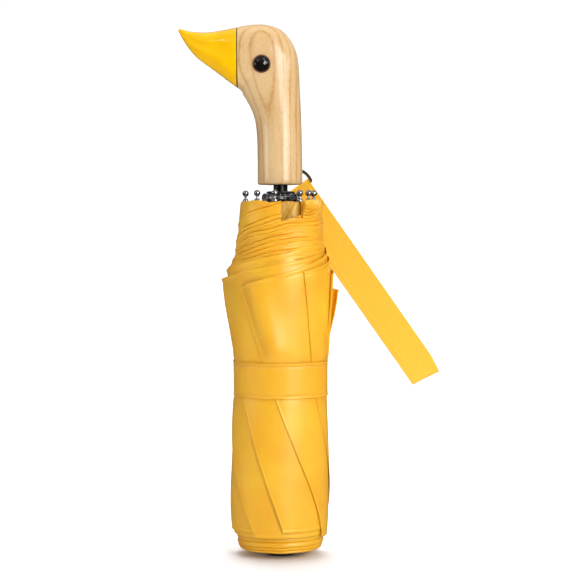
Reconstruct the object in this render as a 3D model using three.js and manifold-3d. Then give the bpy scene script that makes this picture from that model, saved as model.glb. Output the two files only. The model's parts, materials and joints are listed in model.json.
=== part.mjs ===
// A child's compact folding umbrella, folded and strapped: a wooden duck-head handle on a three-part
// telescopic shaft, eight three-part steel ribs, and a cloth canopy rolled round them.
// Millimetres, +Z up. The origin is the centre of the foot cap's flat face, on the shaft's axis.
// The umbrella stands on its foot cap with the handle up, and the beak points along -X.

import * as THREE from "three";
import { mergeVertices } from "three/addons/utils/BufferGeometryUtils.js";
import Module from "manifold-3d";

const wasm = await Module();
wasm.setup();

// ---- driving dimensions ------------------------------------------------------------------------

const RIBS = 8;
const FIRST_RIB_DEG = -128;
// Where each outer rib's ball stands: the wires lean a little sideways in the roll.
const TIP_DEG = [-99, -57, -37, -19, 57, 108, 180, 229];
const FIT = 0.3; // gap left between pieces that touch

const ROLL_RADIUS = 26.3; // the rolled canopy, under its band
const ROLL_TOP = 197;
const HANDLE_BOTTOM = 208;

const WALL = 0.45; // shaft tubes
const OUTER_TUBE = { radius: 5.4, bottom: 7, top: 198 };
const MIDDLE_TUBE = { radius: 4.7, bottom: 34, top: 199.5 };
const HANDLE_TUBE = { radius: 4.0, bottom: 36, top: 240 };

const FOOT = { radius: 9.3, thickness: 2.6, stem: 3.4, stemTop: 6.7 };
const CROWN = { radius: 8.7, bottom: 7.0, top: 14.5, wireRadius: 7.2, wireHeight: 11.2 };
const RUNNER = { bore: 5.75, sleeve: 7.0, flange: 9.7, bottom: 182, top: 204, flangeBottom: 198.4 };
const PIVOT_WIRE = 0.45;

const CATCH = { height: 24, length: 11, width: 2.0, stand: 1.8, plate: 0.6, lip: 0.7 };

const BAND = { bottom: 90, top: 109.6, thickness: 0.9 };
const TAB = { from: 58, to: 104 }; // azimuths of the overlapping end, in degrees

const STRAP = { width: 18.3, thickness: 1.1, length: 130, gap: 6.4 };
const RING = { width: 20.5, wire: 1.0 };
// The strap hangs to the right and a little down from the handle's back.
const STRAP_SLOPE = THREE.MathUtils.degToRad(35);
const BAR_CENTRE = new THREE.Vector3(9.3, 25.6, 205.0);
const STAPLE_POINT = new THREE.Vector3(2.4, 14.1, 214.8);

// ---- helpers -----------------------------------------------------------------------------------

const rad = THREE.MathUtils.degToRad;
const v2 = (x, y) => new THREE.Vector2(x, y);
const v3 = (x, y, z) => new THREE.Vector3(x, y, z);

// A closed geometry with its shared vertices merged, as a solid that can be cut and joined.
function solid(geometry) {
  const bare = geometry.index ? geometry.toNonIndexed() : geometry.clone();
  for (const name of Object.keys(bare.attributes)) {
    if (name !== "position") bare.deleteAttribute(name);
  }
  const merged = mergeVertices(bare, 1e-4);
  const triVerts = new Uint32Array(merged.index.array);
  const make = () =>
    new wasm.Manifold(
      new wasm.Mesh({ numProp: 3, vertProperties: merged.attributes.position.array, triVerts }),
    );
  const made = make();
  if (made.volume() > 0) return made;
  for (let i = 0; i < triVerts.length; i += 3) {
    [triVerts[i + 1], triVerts[i + 2]] = [triVerts[i + 2], triVerts[i + 1]];
  }
  return make();
}

function geometryOf(manifold) {
  const mesh = manifold.getMesh();
  return new THREE.BufferGeometry()
    .setAttribute("position", new THREE.BufferAttribute(mesh.vertProperties, 3))
    .setIndex(new THREE.BufferAttribute(mesh.triVerts, 1));
}

// A closed profile of [radius, height] points turned round the shaft's axis.
function turned(profile, sides = 24) {
  const points = profile.map(([r, z]) => v2(r, z));
  return solid(new THREE.LatheGeometry(points, sides).rotateX(Math.PI / 2));
}

function tube(outer, inner, bottom, top, sides = 24) {
  const profile = [[inner, bottom], [outer, bottom], [outer, top], [inner, top], [inner, bottom]];
  return turned(profile, sides);
}

function block(x0, x1, width, z0, z1) {
  const box = new THREE.BoxGeometry(x1 - x0, width, z1 - z0);
  return solid(box.translate((x0 + x1) / 2, 0, (z0 + z1) / 2));
}

// A rivet or hole along local Y, across a rib.
function crossPin(x, z, radius, length, sides = 8) {
  return solid(new THREE.CylinderGeometry(radius, radius, length, sides).translate(x, 0, z));
}

// A round rod between two points.
function rod(from, to, radius, sides = 8) {
  const axis = to.clone().sub(from);
  const turn = new THREE.Quaternion().setFromUnitVectors(v3(0, 1, 0), axis.clone().normalize());
  const middle = from.clone().add(to).multiplyScalar(0.5);
  const cylinder = new THREE.CylinderGeometry(radius, radius, axis.length(), sides);
  return solid(cylinder.applyQuaternion(turn).translate(middle.x, middle.y, middle.z));
}

function torus(ringRadius, wireRadius, height, sides = 32, wireSides = 6) {
  return solid(new THREE.TorusGeometry(ringRadius, wireRadius, wireSides, sides).translate(0, 0, height));
}

// A skin through equal closed rings of points, with a fan over each end.
function loft(rings) {
  const count = rings[0].length;
  const points = rings.flat();
  const faces = [];
  for (let i = 0; i + 1 < rings.length; i++) {
    for (let j = 0; j < count; j++) {
      const a = i * count + j;
      const b = i * count + ((j + 1) % count);
      faces.push(a, b, b + count, a, b + count, a + count);
    }
  }
  const ends = [[rings[0], 0, true], [rings.at(-1), (rings.length - 1) * count, false]];
  for (const [ring, start, first] of ends) {
    const centre = points.length;
    points.push(ring.reduce((sum, p) => sum.add(p), v3(0, 0, 0)).divideScalar(count));
    for (let j = 0; j < count; j++) {
      const next = start + ((j + 1) % count);
      faces.push(...(first ? [centre, next, start + j] : [centre, start + j, next]));
    }
  }
  const geometry = new THREE.BufferGeometry().setFromPoints(points);
  geometry.setIndex(faces);
  return solid(geometry);
}

// ---- materials ---------------------------------------------------------------------------------

const paint = (color, roughness, metalness = 0) =>
  new THREE.MeshStandardMaterial({ color, roughness, metalness });
const cloth = paint(0xf7b52c, 0.75);
const webbing = paint(0xf8b11f, 0.8);
const wood = paint(0xdcb684, 0.35);
const beakPaint = paint(0xf9c80a, 0.2);
const blackGloss = paint(0x120d0b, 0.08);
const blackPlastic = paint(0x17171a, 0.4);
const blackTube = paint(0x1b1b1d, 0.35, 0.6);
const steel = paint(0xb9bcc0, 0.3, 0.9);

const umbrella = new THREE.Group();

function add(name, manifold, material, parent = umbrella) {
  const mesh = new THREE.Mesh(geometryOf(manifold), material);
  mesh.name = name;
  parent.add(mesh);
  return mesh;
}

// ---- foot, crown and shaft ---------------------------------------------------------------------

function footCap() {
  const { radius, thickness, stem, stemTop } = FOOT;
  const edge = 0.9;
  return turned([
    [0, 0], [radius - edge, 0], [radius, edge], [radius, thickness - 0.4], [radius - 0.5, thickness],
    [stem, thickness], [stem, stemTop], [0, stemTop],
  ], 28);
}

// The crown holds the inner ribs in eight slots, on a wire that lies in a groove round it.
function crown() {
  const { radius, bottom, top, wireRadius, wireHeight } = CROWN;
  const groove = 0.9;
  let body = turned([[0, bottom], [radius, bottom], [radius, top], [0, top]], 32);
  body = body.subtract(
    tube(radius + 1, wireRadius - groove, wireHeight - groove, wireHeight + groove, 32),
  );
  body = body.subtract(turned([
    [0, bottom + 2], [OUTER_TUBE.radius + FIT, bottom + 2], [OUTER_TUBE.radius + FIT, top + 1], [0, top + 1],
  ]));
  const slot = solid(new THREE.BoxGeometry(6, 3.2, top).translate(9.2, 0, top / 2 + bottom + 1.6));
  for (let k = 0; k < RIBS; k++) {
    body = body.subtract(slot.rotate([0, 0, FIRST_RIB_DEG + (k * 360) / RIBS]));
  }
  return body;
}

function outerTube() {
  const { radius, bottom, top } = OUTER_TUBE;
  const slotWidth = CATCH.width + 0.8;
  const slotLength = CATCH.length + 1;
  const cut = new THREE.BoxGeometry(radius + 2, slotWidth, slotLength);
  return tube(radius, radius - WALL, bottom + 2 + FIT, top)
    .subtract(solid(cut.translate((radius + 2) / 2 + 1, 0, CATCH.height)));
}

// A sprung wedge that stands out of the outer tube and holds the runner when the umbrella is up. Its
// back plate is wider than the tube's slot, so it can't fall out.
function runnerCatch() {
  const { height, length, width, stand, plate, lip } = CATCH;
  const inside = OUTER_TUBE.radius - WALL - 0.5;
  const outside = OUTER_TUBE.radius + stand;
  const low = height - length / 2;
  const high = height + length / 2;
  const wedge = new THREE.Shape([
    v2(inside - plate / 2, low), v2(OUTER_TUBE.radius, low), v2(outside, high - 2.5), v2(outside, high),
    v2(inside - plate / 2, high),
  ]);
  const bar = new THREE.ExtrudeGeometry(wedge, { depth: width, bevelEnabled: false });
  return solid(bar.rotateX(Math.PI / 2).translate(0, width / 2, 0))
    .add(block(inside - plate, inside, width + 2 * lip, low - 1.5, high + 1.5));
}

function runner() {
  const { bore, sleeve, flange, bottom, top, flangeBottom } = RUNNER;
  const groove = 0.8;
  const middle = (flangeBottom + top) / 2;
  let body = turned([
    [bore, bottom], [sleeve, bottom], [sleeve, flangeBottom - 2], [flange - 0.8, flangeBottom],
    [flange, flangeBottom + 0.6], [flange, top - 0.6], [flange - 0.8, top], [bore, top], [bore, bottom],
  ], 32);
  body = body.subtract(tube(flange + 1, sleeve + 0.7, middle - groove, middle + groove, 32));
  const slot = solid(new THREE.BoxGeometry(5, 2.4, 12).translate(sleeve + 0.2 + 2.5, 0, middle));
  for (let k = 0; k < RIBS; k++) {
    body = body.subtract(slot.rotate([0, 0, FIRST_RIB_DEG + (k * 360) / RIBS]));
  }
  return body;
}

add("foot_cap", footCap(), blackPlastic);
add("crown", crown(), blackPlastic);
add("crown_wire", torus(CROWN.wireRadius, PIVOT_WIRE, CROWN.wireHeight), steel);
add("outer_tube", outerTube(), blackTube);
add("runner_catch", runnerCatch(), steel);
add("middle_tube", tube(MIDDLE_TUBE.radius, MIDDLE_TUBE.radius - WALL, MIDDLE_TUBE.bottom, MIDDLE_TUBE.top),
  blackTube);
add("handle_tube", tube(HANDLE_TUBE.radius, HANDLE_TUBE.radius - WALL, HANDLE_TUBE.bottom, HANDLE_TUBE.top),
  blackTube);
add("runner", runner(), blackPlastic);
const RUNNER_PIVOT = { radius: RUNNER.sleeve + 1.6, height: (RUNNER.flangeBottom + RUNNER.top) / 2 };
add("runner_wire", torus(RUNNER_PIVOT.radius, PIVOT_WIRE, RUNNER_PIVOT.height), steel);

// ---- ribs, each drawn along +X and turned to its place ----------------------------------------------

const RIB = { width: 2.6, depth: 2.0, wall: 0.5 };
const INNER = { x: 9.4, top: 191 };
const MIDDLE = { x: 12.3, top: 192.5, bottom: 17 };
const OUTER = { bottomX: 16.2, topX: 19.6, bottom: 13.5, top: 198.5, radius: 0.85 };
const STRETCHER = { bottom: 103, width: 1.5, depth: 1.2 };
const PIN = 0.5;

// A steel channel, open towards the shaft.
function channel(x, bottom, top) {
  const hollow = block(x - 1, x + RIB.depth - RIB.wall, RIB.width - 2 * RIB.wall, bottom - 1, top + 1);
  return block(x, x + RIB.depth, RIB.width, bottom, top).subtract(hollow);
}

function innerRib() {
  const footBottom = CROWN.wireHeight - 1.4;
  const lug = block(CROWN.wireRadius - 1.0, INNER.x + RIB.depth, 1.6, footBottom, CROWN.wireHeight + 4);
  return channel(INNER.x, CROWN.wireHeight + 1.5, INNER.top)
    .add(lug)
    .subtract(crossPin(CROWN.wireRadius, CROWN.wireHeight, PIVOT_WIRE + 0.35, 4));
}

// The stretcher runs from the runner to its rivet halfway down the inner rib.
function stretcher() {
  const x = RUNNER_PIVOT.radius;
  const arm = block(x - STRETCHER.depth / 2, x + STRETCHER.depth / 2, STRETCHER.width,
    STRETCHER.bottom, RUNNER_PIVOT.height + 1.5);
  const eye = block(x - 1.1, x + 1.1, STRETCHER.width, RUNNER_PIVOT.height - 1.5, RUNNER_PIVOT.height + 1.5);
  return arm.add(eye).subtract(crossPin(x, RUNNER_PIVOT.height, PIVOT_WIRE + 0.3, 4));
}

// The middle rib folds down from the inner rib's top, on a two-eared bracket with a rivet.
function middleRib() {
  const bracket = block(MIDDLE.x - 0.6, MIDDLE.x + 0.4, RIB.width, MIDDLE.top - 4, MIDDLE.top + 1);
  const rivet = crossPin(MIDDLE.x - 0.1, MIDDLE.top - 0.6, PIN, RIB.width + 1);
  return channel(MIDDLE.x, MIDDLE.bottom, MIDDLE.top).add(bracket).add(rivet);
}

// The outer rib is a round steel wire that ends in a ball, sewn to the canopy's hem. Its foot is in
// line with the rest of its rib, and its ball is turned round the shaft by lean degrees.
function outerRib(lean) {
  const { bottomX, topX, bottom, top, radius } = OUTER;
  const ball = { radius: 1.85, height: 203.2 };
  const tip = (z) => v3(topX * Math.cos(rad(lean)), topX * Math.sin(rad(lean)), z);
  const wire = rod(v3(bottomX, 0, bottom), tip(top), radius);
  const neck = rod(tip(top - 4), tip(ball.height), 0.75);
  const collar = rod(tip(top - 3.5), tip(top), 1.5);
  const centre = tip(ball.height);
  const head = solid(new THREE.SphereGeometry(ball.radius, 10, 7).rotateX(Math.PI / 2)
    .translate(centre.x, centre.y, centre.z));
  const elbow = block(bottomX - 1.2, bottomX + 1, 2.2, bottom - 1, bottom + 5);
  return wire.add(collar).add(neck).add(head).add(elbow);
}

for (let k = 0; k < RIBS; k++) {
  const set = new THREE.Group();
  const hubDeg = FIRST_RIB_DEG + (k * 360) / RIBS;
  set.rotation.z = rad(hubDeg);
  umbrella.add(set);
  add(`inner_rib_${k + 1}`, innerRib(), steel, set);
  add(`stretcher_${k + 1}`, stretcher(), steel, set);
  add(`middle_rib_${k + 1}`, middleRib(), steel, set);
  add(`outer_rib_${k + 1}`, outerRib(TIP_DEG[k] - hubDeg), steel, set);
}

// ---- rolled canopy -----------------------------------------------------------------------------

// Height, outer radius, inner radius: the roll is bowl-shaped round the foot, waisted under its band,
// fullest just above it, and drawn in where the hem gathers under the handle.
const ROLL = [
  [2.9, 14.5, 9.9], [4.6, 19.5, 12.5], [8, 22.6, 18.4], [13, 24.4, 19.8], [15, 26.2, 20.4],
  [40, 27.0, 21.4], [70, 26.6, 21.4], [88, ROLL_RADIUS, 21.4], [112, ROLL_RADIUS, 21.4],
  [130, 27.6, 21.4], [153, 28.6, 21.8], [162, 27.2, 21.8], [178, 24.8, 21.8], [190, 24.2, 21.8],
  [ROLL_TOP, 23.4, 21.8],
];
const ROLL_TWIST = -0.55; // degrees per millimetre of height
const GORE_ARC_STEPS = 4;
const GORE_STEP = 13; // greatest height of one row of faces

// The roll's profile with its long steps divided, so that a twisted seam stays close to its curve.
function rollRows() {
  return ROLL.flatMap((row, i) => {
    const next = ROLL[i + 1];
    if (!next) return [row];
    const parts = Math.ceil((next[0] - row[0]) / GORE_STEP);
    return [...Array(parts).keys()].map((n) =>
      row.map((value, j) => THREE.MathUtils.lerp(value, next[j], n / parts)),
    );
  });
}

// One of the eight panels, as the slanting strip of the roll where it shows.
function gore(k) {
  const gapDeg = 1.3;
  const rings = rollRows().map(([z, outer, inner]) => {
    const start = FIRST_RIB_DEG + (k * 360) / RIBS + ROLL_TWIST * (z - ROLL_TOP);
    const arc = 360 / RIBS - gapDeg;
    const at = (i) => rad(start + (arc * i) / GORE_ARC_STEPS);
    const steps = [...Array(GORE_ARC_STEPS + 1).keys()];
    const point = (r, i) => v3(r * Math.cos(at(i)), r * Math.sin(at(i)), z);
    return [...steps.map((i) => point(outer, i)), ...steps.reverse().map((i) => point(inner, i))];
  });
  return loft(rings);
}

for (let k = 0; k < RIBS; k++) add(`canopy_gore_${k + 1}`, gore(k), cloth);

// An upright strip of cloth, bent to part of a circle.
function bentStrip(radius, thickness, fromDeg, toDeg, bottom, top) {
  const shape = new THREE.Shape();
  shape.absarc(0, 0, radius + thickness, rad(fromDeg), rad(toDeg), false);
  shape.absarc(0, 0, radius, rad(toDeg), rad(fromDeg), true);
  const strip = new THREE.ExtrudeGeometry(shape, { depth: top - bottom, bevelEnabled: false, curveSegments: 8 });
  return solid(strip.translate(0, 0, bottom));
}

const bandRadius = ROLL_RADIUS + FIT;
add("closure_band", tube(bandRadius + BAND.thickness, bandRadius, BAND.bottom, BAND.top, 40), cloth);
const tabRadius = bandRadius + BAND.thickness + FIT;
add("closure_tab", bentStrip(tabRadius, BAND.thickness, TAB.from, TAB.to, BAND.bottom + 0.6, BAND.top - 0.6),
  cloth);

// ---- duck-head handle --------------------------------------------------------------------------

const HEAD_SIDES = 28;

// Each station is an oval across the handle: its front and back points in the XZ plane, and its half width.
const WOOD = [
  [-12.1, HANDLE_BOTTOM, 11.7, HANDLE_BOTTOM, 11.4],
  [-12.9, HANDLE_BOTTOM + 1.2, 12.3, HANDLE_BOTTOM + 1.2, 12.2],
  [-12.9, 222, 12.2, 222, 12.2],
  [-13.1, 233, 11.9, 236, 12.2],
  [-13.9, 242, 11.4, 250, 12.3],
  [-15.7, 248.6, 10.8, 262, 12.7],
  [-18.0, 253.4, 10.3, 273, 13.2],
  [-19.9, 256.6, 8.9, 281.8, 13.6],
  [-21.0, 258.3, 5.5, 288.8, 13.9],
  [-21.5, 260.0, 0.2, 294.4, 14.1],
  [-22.4, 260.9, -8.0, 297.2, 14.1],
  [-23.2, 261.6, -16.5, 297.2, 14.0],
  [-23.7, 262.0, -24.0, 295.9, 13.8],
];
const BEAK = [
  [-24.0, 262.2, -24.3, 295.7, 13.7],
  [-29.0, 265.7, -29.0, 294.9, 13.0],
  [-35.0, 270.2, -35.0, 293.8, 11.3],
  [-41.0, 274.6, -41.0, 293.1, 9.2],
  [-46.0, 278.3, -46.0, 293.2, 7.2],
  [-50.5, 283.0, -50.8, 293.7, 5.1],
  [-54.2, 288.3, -54.6, 294.6, 3.1],
  [-56.4, 292.4, -56.8, 295.2, 1.3],
];

function ovals(stations) {
  return stations.map(([x0, z0, x1, z1, half]) => {
    const centre = v3((x0 + x1) / 2, 0, (z0 + z1) / 2);
    const along = v3(x1 - x0, 0, z1 - z0).multiplyScalar(0.5);
    return [...Array(HEAD_SIDES).keys()].map((j) => {
      const turn = (2 * Math.PI * j) / HEAD_SIDES;
      return centre.clone().addScaledVector(along, Math.cos(turn)).add(v3(0, half * Math.sin(turn), 0));
    });
  });
}

const EYE = { x: -10.4, z: 274.4, radius: 4.8, depth: 3.4, stem: 1.4, seat: 13.2 };

// A glossy black button eye on a short stem; side is -1 or 1 along Y.
function eye(side) {
  const { radius, depth, stem, seat } = EYE;
  const dome = [0, 0.25, 0.5, 0.75, 1].map((t) => {
    const a = (t * Math.PI) / 2;
    return [radius * Math.cos(a), seat + 0.9 + depth * Math.sin(a)];
  });
  const profile = [[0, seat - 5], [stem, seat - 5], [stem, seat], [radius - 0.3, seat], ...dome.slice(0, -1),
    [0, seat + 0.9 + depth]];
  const upright = turned(profile, 20);
  return upright.rotate([side < 0 ? 90 : -90, 0, 0]).translate([EYE.x, 0, EYE.z]);
}

// The eye's seat: a flat round recess and a hole for its stem.
function eyeSeat(side) {
  const { radius, stem, seat } = EYE;
  const cut = turned([[0, seat - 5.5], [stem + FIT, seat - 5.5], [stem + FIT, seat - FIT],
    [radius + FIT, seat - FIT], [radius + FIT, seat + 6], [0, seat + 6]], 20);
  return cut.rotate([side < 0 ? 90 : -90, 0, 0]).translate([EYE.x, 0, EYE.z]);
}

// The staple that holds the strap ring stands on two legs in the handle's back.
const barAlong = v3(-Math.cos(STRAP_SLOPE), 0, -Math.sin(STRAP_SLOPE));
const strapDown = v3(Math.sin(STRAP_SLOPE), 0, -Math.cos(STRAP_SLOPE));
const STAPLE = { wire: 0.8, half: 2.5, rise: 2.2, depth: 7 };

function stapleLegs() {
  return [-1, 1].map((end) => {
    const top = STAPLE_POINT.clone().addScaledVector(strapDown, end * STAPLE.half);
    top.y += STAPLE.rise;
    return [top.clone().setY(STAPLE_POINT.y - STAPLE.depth), top];
  });
}

function staple() {
  const [[innerA, topA], [innerB, topB]] = stapleLegs();
  const reach = strapDown.clone().multiplyScalar(STAPLE.wire * 0.9);
  return rod(innerA, topA, STAPLE.wire)
    .add(rod(innerB, topB, STAPLE.wire))
    .add(rod(topA.clone().sub(reach), topB.clone().add(reach), STAPLE.wire));
}

function woodHandle() {
  const bore = turned([
    [0, HANDLE_BOTTOM - 1], [HANDLE_TUBE.radius + FIT, HANDLE_BOTTOM - 1],
    [HANDLE_TUBE.radius + FIT, HANDLE_TUBE.top + 1], [0, HANDLE_TUBE.top + 1],
  ]);
  let body = loft(ovals(WOOD)).subtract(bore).subtract(eyeSeat(-1)).subtract(eyeSeat(1));
  for (const [inner, top] of stapleLegs()) {
    body = body.subtract(rod(inner.clone().add(v3(0, -0.4, 0)), top, STAPLE.wire + FIT));
  }
  return body;
}

add("handle", woodHandle(), wood);
add("beak", loft(ovals(BEAK)), beakPaint);
add("eye_left", eye(-1), blackGloss);
add("eye_right", eye(1), blackGloss);
add("strap_staple", staple(), steel);

// ---- strap ring and wrist strap ------------------------------------------------------------------

// A tube of flat rows of points, swept round a closed plane path.
function sweptLoop(path, section, normal) {
  const count = path.length;
  const size = section.length;
  const points = path.flatMap((p, i) => {
    const tangent = path[(i + 1) % count].clone().sub(path[(i + count - 1) % count]).normalize();
    const out = tangent.clone().cross(normal);
    return section.map(([a, b]) => p.clone().addScaledVector(out, a).addScaledVector(normal, b));
  });
  const faces = [];
  for (let i = 0; i < count; i++) {
    for (let j = 0; j < size; j++) {
      const a = i * size + j;
      const b = i * size + ((j + 1) % size);
      const c = ((i + 1) % count) * size + j;
      const d = ((i + 1) % count) * size + ((j + 1) % size);
      faces.push(a, b, d, a, d, c);
    }
  }
  const loop = new THREE.BufferGeometry().setFromPoints(points);
  loop.setIndex(faces);
  return solid(loop);
}

// The D-shaped ring: a straight bar that carries the strap, and a bow that passes under the staple.
function strapRing() {
  const up = STAPLE_POINT.clone().sub(BAR_CENTRE);
  const height = up.length();
  up.normalize();
  const half = RING.width / 2;
  const corner = 4;
  const at = (along, high) =>
    BAR_CENTRE.clone().addScaledVector(barAlong, along).addScaledVector(up, high);
  const bow = [...Array(11).keys()].map((i) => {
    const turn = (Math.PI * (i + 1)) / 12;
    return at(half * Math.cos(turn), corner + (height - corner) * Math.sin(turn));
  });
  const foot = [at(half - 0.8, 0), at(half - 0.1, 0.9)];
  const otherFoot = [at(0.1 - half, 0.9), at(0.8 - half, 0)];
  const path = [...foot, at(half, corner), ...bow, at(-half, corner), ...otherFoot];
  const round = [...Array(8).keys()].map((j) => {
    const turn = (j * Math.PI) / 4;
    return [RING.wire * Math.cos(turn), RING.wire * Math.sin(turn)];
  });
  return sweptLoop(path, round, barAlong.clone().cross(up));
}

// The wrist strap is one long loop of webbing, round the ring's bar at its top.
function wristStrap() {
  const { width, thickness, length, gap } = STRAP;
  const top = RING.wire + FIT + thickness / 2;
  const belly = (gap + thickness) / 2;
  const end = thickness / 2 + 0.35;
  const front = [
    [0, top], [12, top + 0.3], [26, belly - 0.3], [40, belly], [length - 34, belly],
    [length - 16, belly * 0.8], [length - 5, end + 0.5], [length - end, end],
  ];
  const path = [
    ...front.map(([s, half]) => v2(half, -s)),
    v2(0, -length + 0.01),
    ...front.map(([s, half]) => v2(-half, -s)).reverse(),
    ...[150, 120, 90, 60, 30].map((a) => v2(top * Math.cos(rad(a)), top * Math.sin(rad(a)))),
  ];
  const t = thickness / 2;
  const w = width / 2;
  const across = v3(0, 1, 0);
  const place = ({ x, y }) =>
    BAR_CENTRE.clone().addScaledVector(across, x).addScaledVector(strapDown, -y);
  return sweptLoop(path.map(place), [[-t, -w], [t, -w], [t, w], [-t, w]], barAlong);
}

add("strap_ring", strapRing(), steel);
add("wrist_strap", wristStrap(), webbing);

export default umbrella;
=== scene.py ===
import json
import math

import bpy
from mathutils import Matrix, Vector, noise


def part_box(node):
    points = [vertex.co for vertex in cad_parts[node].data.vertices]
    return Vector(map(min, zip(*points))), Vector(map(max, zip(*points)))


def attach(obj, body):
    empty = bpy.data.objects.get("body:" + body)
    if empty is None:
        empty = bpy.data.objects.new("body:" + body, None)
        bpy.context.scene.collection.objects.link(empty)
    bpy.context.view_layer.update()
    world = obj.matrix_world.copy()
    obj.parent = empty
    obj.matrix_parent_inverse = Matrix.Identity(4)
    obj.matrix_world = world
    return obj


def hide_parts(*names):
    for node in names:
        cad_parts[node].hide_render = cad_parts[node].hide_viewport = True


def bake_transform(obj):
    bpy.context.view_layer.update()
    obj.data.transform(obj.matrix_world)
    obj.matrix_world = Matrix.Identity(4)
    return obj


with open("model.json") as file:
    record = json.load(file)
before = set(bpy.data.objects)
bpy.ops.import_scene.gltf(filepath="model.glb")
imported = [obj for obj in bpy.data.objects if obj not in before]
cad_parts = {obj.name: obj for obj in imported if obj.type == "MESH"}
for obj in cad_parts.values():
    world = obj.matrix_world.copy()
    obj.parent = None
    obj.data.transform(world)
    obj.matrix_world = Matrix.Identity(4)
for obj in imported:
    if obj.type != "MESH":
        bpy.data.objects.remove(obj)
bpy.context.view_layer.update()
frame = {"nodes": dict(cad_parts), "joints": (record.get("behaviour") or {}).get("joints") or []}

# Lengths are in millimetres until a point becomes a mesh vertex. Round the shaft, phi is in degrees:
# 0 faces the camera (-Y), and positive turns towards +X.
MM = 0.001


# ---- camera ----

EYE_HEIGHT = 0.185
VIEW_DISTANCE = 0.95
PICTURE_WIDTH = 0.3237  # what the frame spans at the shaft
AIM = Vector((0.0042, 0.0, 0.1501))


def make_camera():
    data = bpy.data.cameras.new("camera")
    data.sensor_width = 36.0
    data.lens = 36.0 * VIEW_DISTANCE / PICTURE_WIDTH
    camera = bpy.data.objects.new("camera", data)
    camera.location = (AIM.x, -VIEW_DISTANCE, EYE_HEIGHT)
    camera.rotation_euler = (AIM - camera.location).to_track_quat("-Z", "Y").to_euler()
    bpy.context.collection.objects.link(camera)
    bpy.context.scene.camera = camera


make_camera()


# ---- small helpers ----


def round_point(phi, radius, z):
    turn = math.radians(phi)
    return Vector((radius * math.sin(turn), -radius * math.cos(turn), z))


def mix(a, b, t):
    return a + (b - a) * t


def smooth(t):
    t = min(max(t, 0.0), 1.0)
    return t * t * (3 - 2 * t)


def bell(x, width):
    """1 at 0, fading to either side."""
    return math.exp(-((x / width) ** 2))


def curve_through(points, x):
    """A smooth line through (x, y) points in rising order of x, level beyond its ends."""
    if x <= points[0][0]:
        return points[0][1]
    for i in range(len(points) - 1):
        x0, y0 = points[i]
        x1, y1 = points[i + 1]
        if x <= x1:
            before = points[max(i - 1, 0)]
            after = points[min(i + 2, len(points) - 1)]
            t = (x - x0) / (x1 - x0)
            m0 = (y1 - before[1]) / (x1 - before[0]) * (x1 - x0)
            m1 = (after[1] - y0) / (after[0] - x0) * (x1 - x0)
            t2, t3 = t * t, t * t * t
            start = (2 * t3 - 3 * t2 + 1) * y0 + (t3 - 2 * t2 + t) * m0
            end = (3 * t2 - 2 * t3) * y1 + (t3 - t2) * m1
            return start + end
    return points[-1][1]


def sine(degrees):
    return math.sin(math.radians(degrees))


def arc(angles, width, height, centre=(0.0, 0.0)):
    """Points of an oval in a plane, at angles in degrees."""
    x, y = centre
    return [(x + width * sine(90 - angle), y + height * sine(angle)) for angle in angles]


def ripple(phi, z, size, seed=0.0):
    """Slow unevenness, the same each run, that closes round the shaft."""
    p = round_point(phi, 2.2, z * 0.05 + seed)
    return size * noise.noise(p)


def new_object(name, mesh, material, body=None, replaces=(), slot=None, sharp=40):
    """A piece on one body, with the CAD nodes it stands for. Edges over sharp degrees stay crisp."""
    mesh.validate()
    mesh.shade_smooth()
    mesh.set_sharp_from_angle(angle=math.radians(sharp))
    obj = bpy.data.objects.new(name, mesh)
    bpy.context.collection.objects.link(obj)
    mesh.materials.append(material)
    if body:
        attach(obj, body)
    if replaces:
        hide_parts(*replaces)
    return obj


def mesh_of(name, points, faces, uvs=None):
    """A mesh from points in millimetres."""
    mesh = bpy.data.meshes.new(name)
    mesh.from_pydata([p * MM for p in points], [], faces)
    if uvs:
        layer = mesh.uv_layers.new(name="cloth")
        for loop in mesh.loops:
            layer.data[loop.index].uv = uvs[loop.vertex_index]
    return mesh


def tube_faces(first, sides, rings):
    """Faces of a capped tube whose rings of points follow one another from the first."""
    faces = []
    for k in range(first, first + sides * (rings - 1), sides):
        for a in range(sides):
            p, q = k + a, k + (a + 1) % sides
            faces.append([p, q, q + sides, p + sides])
    last = first + sides * (rings - 1)
    return faces + [list(range(first, first + sides))[::-1], list(range(last, last + sides))]


def rows_mesh(name, rows, closed=False, caps=False, uvs=None):
    """A mesh through equal rows of points."""
    count = len(rows[0])
    points = [p for row in rows for p in row]
    faces = []
    for i in range(len(rows) - 1):
        for j in range(count if closed else count - 1):
            a, b = i * count + j, i * count + (j + 1) % count
            quad = (a, b, b + count, a + count)
            corners = [c for n, c in enumerate(quad) if (points[c] - points[quad[n - 1]]).length > 1e-5]
            if len(corners) > 2:
                faces.append(corners)
    if caps:
        faces.append(list(range(count))[::-1])
        faces.append([len(points) - count + j for j in range(count)])
    return mesh_of(name, points, faces, uvs)


def cloth_weave(rows):
    """Each point's place on the cloth in centimetres: along its row, and up."""
    uvs = []
    for row in rows:
        along = 0.0
        for j, p in enumerate(row):
            along += (p - row[j - 1]).length if j else 0.0
            uvs.append((along / 10, p.z / 10))
    return uvs


def skin(name, rows, material, closed=False, caps=False, **where):
    """A piece through rows of points."""
    return new_object(name, rows_mesh(name, rows, closed, caps), material, **where)


def cloth(name, rows, material, thickness, closed=False, uvs=None, offset=-1.0, **where):
    """A piece of cloth through rows of points, thickened inwards unless offset says otherwise."""
    mesh = rows_mesh(name, rows, closed, uvs=uvs or cloth_weave(rows))
    piece = new_object(name, mesh, material, **where)
    solid = piece.modifiers.new("thickness", "SOLIDIFY")
    solid.thickness = thickness * MM
    solid.offset = offset
    return piece


def turned(name, profile, material, sides=48, caps=True, **where):
    """A profile of (radius, height) turned round the shaft. Without caps it is a closed loop."""
    rows = [[round_point(360 * j / sides, r, z) for j in range(sides)] for r, z in profile]
    return skin(name, rows, material, closed=True, caps=caps, **where)


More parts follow.
